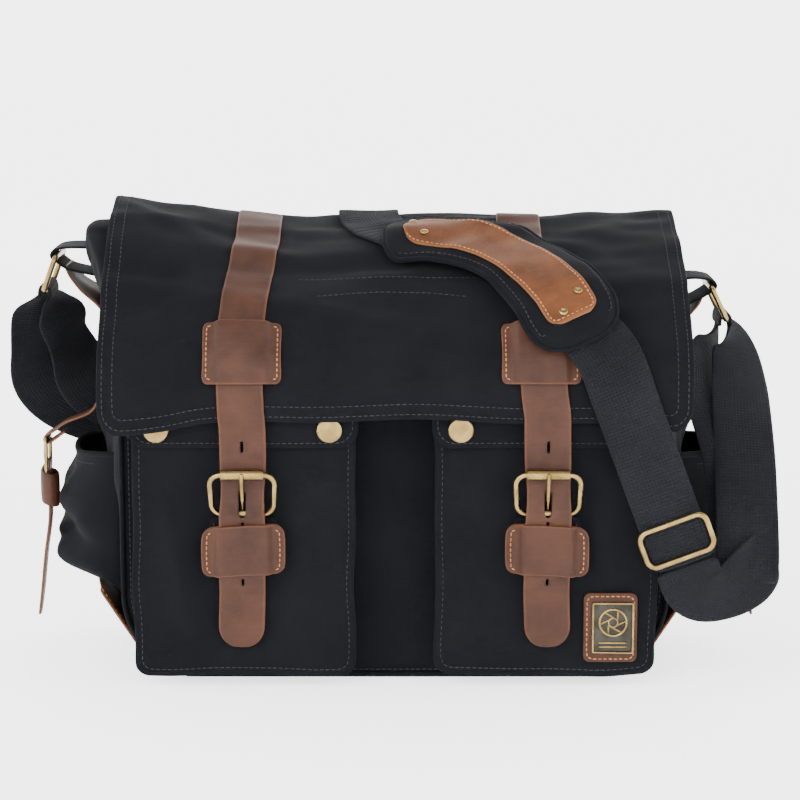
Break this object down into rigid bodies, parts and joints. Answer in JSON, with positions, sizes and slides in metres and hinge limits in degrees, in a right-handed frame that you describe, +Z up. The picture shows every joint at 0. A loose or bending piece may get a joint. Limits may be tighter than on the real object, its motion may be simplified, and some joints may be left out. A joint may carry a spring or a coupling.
{
  "type": "camera bag",
  "caption": "Soft canvas camera bag with a wide front flap, leather buckle straps, front and side pockets, a padded insert and a padded shoulder strap.",
  "frame": {"origin": "centre of the base, on the surface that the bag stands on", "axes": "+X to the right seen from the front, +Y to the back, +Z up"},
  "size_m": [0.5062, 0.1834, 0.293],
  "materials": {
    "canvas": "matte charcoal cotton canvas",
    "webbing": "ribbed cotton webbing",
    "pad": "padded canvas",
    "lining": "padded lining cloth",
    "leather": "waxed brown leather, raw tan edges",
    "brass": "antique brass",
    "plate": "dark antique metal plate",
    "steel": "plated magnet and stud"
  },
  "bodies": {
    "root": {"back_panel": "canvas", "back_webbing": "webbing", "badge_patch": "leather", "badge_plate": "plate", "bottom_panel": "canvas", "front_panel": "canvas", "front_pocket_left": "canvas", "front_pocket_right": "canvas", "gusset_left": "canvas", "gusset_right": "canvas", "leather_base_left": "leather", "leather_base_right": "leather", "left_strand": "webbing", "magnet_sockets": "steel", "padded_insert": "lining", "right_strands": "webbing", "ring_tab_left": "canvas", "ring_tab_right": "canvas", "side_buckles": "brass", "side_keepers": "leather", "side_pocket_left": "canvas", "side_pocket_right": "canvas", "side_strap_left": "leather", "side_strap_right": "leather", "snap_studs": "steel", "tab_patches": "leather"},
    "flap": {"flap_panel": "canvas", "strap_patch_left": "leather", "strap_patch_right": "leather", "leather_strap_left": "leather", "leather_strap_right": "leather", "buckle_frame_left": "brass", "buckle_frame_right": "brass", "buckle_tab_left": "canvas", "buckle_tab_right": "canvas", "keeper_left": "leather", "keeper_right": "leather", "magnets": "steel"},
    "shoulder_strap": {"front_webbing": "webbing", "webbing_turn": "webbing", "shoulder_pad": "pad", "pad_leather": "leather", "pad_rivets": "brass"},
    "slider": {"slider": "brass"},
    "pocket_flap_left": {"pocket_flap_left": "canvas", "snap_caps_left": "brass"},
    "pocket_flap_right": {"pocket_flap_right": "canvas", "snap_caps_right": "brass"},
    "roller_left": {"roller_left": "brass"},
    "roller_right": {"roller_right": "brass"},
    "prong_left": {"prong_left": "brass"},
    "prong_right": {"prong_right": "brass"},
    "ring_left": {"ring_left": "brass", "ring_loop_left": "webbing"},
    "ring_right": {"ring_right": "brass", "ring_loop_right": "webbing"},
    "divider_left": {"divider_left": "lining"},
    "divider_right": {"divider_right": "lining"}
  },
  "joints": [
    {"name": "flap_hinge", "type": "hinge", "parent": "root", "child": "flap", "pos_m": [0, 0.058, 0.2838], "axis": [-1, 0, 0], "range_deg": [0, 110]},
    {"name": "strap_lift", "type": "hinge", "parent": "root", "child": "shoulder_strap", "pos_m": [0, 0.058, 0.2838], "axis": [-1, 0, 0], "range_deg": [0, 110]},
    {"name": "slider_slide", "type": "slide", "parent": "shoulder_strap", "child": "slider", "axis": [0.3505, 0, -0.9365], "range_m": [-0.03, 0.012]},
    {"name": "pocket_flap_left_hinge", "type": "hinge", "parent": "root", "child": "pocket_flap_left", "pos_m": [0, -0.0614, 0.196], "axis": [-1, 0, 0], "range_deg": [0, 100]},
    {"name": "pocket_flap_right_hinge", "type": "hinge", "parent": "root", "child": "pocket_flap_right", "pos_m": [0, -0.0614, 0.196], "axis": [-1, 0, 0], "range_deg": [0, 100]},
    {"name": "ring_left_swing", "type": "hinge", "parent": "root", "child": "ring_left", "pos_m": [-0.221, 0.022, 0.264], "axis": [0, 1, 0], "range_deg": [-6, 6]},
    {"name": "ring_right_swing", "type": "hinge", "parent": "root", "child": "ring_right", "pos_m": [0.206, 0.022, 0.244], "axis": [0, 1, 0], "range_deg": [-6, 6]},
    {"name": "divider_left_slide", "type": "slide", "parent": "root", "child": "divider_left", "axis": [1, 0, 0], "range_m": [-0.04, 0.04]},
    {"name": "divider_right_slide", "type": "slide", "parent": "root", "child": "divider_right", "axis": [1, 0, 0], "range_m": [-0.04, 0.04]},
    {"name": "roller_left_spin", "type": "hinge", "parent": "flap", "child": "roller_left", "pos_m": [-0.095, -0.1006, 0.1405], "axis": [1, 0, 0], "continuous": true},
    {"name": "prong_left_lift", "type": "hinge", "parent": "flap", "child": "prong_left", "pos_m": [-0.095, -0.094, 0.1145], "axis": [1, 0, 0], "range_deg": [0, 40]},
    {"name": "roller_right_spin", "type": "hinge", "parent": "flap", "child": "roller_right", "pos_m": [0.095, -0.1006, 0.1405], "axis": [1, 0, 0], "continuous": true},
    {"name": "prong_right_lift", "type": "hinge", "parent": "flap", "child": "prong_right", "pos_m": [0.095, -0.094, 0.1145], "axis": [1, 0, 0], "range_deg": [0, 40]}
  ],
  "couplings": [
    {"joint": "strap_lift", "follows": "flap_hinge", "ratio": 1},
    {"joint": "pocket_flap_left_hinge", "follows": "flap_hinge", "ratio": 0.8},
    {"joint": "pocket_flap_right_hinge", "follows": "flap_hinge", "ratio": 0.8}
  ]
}
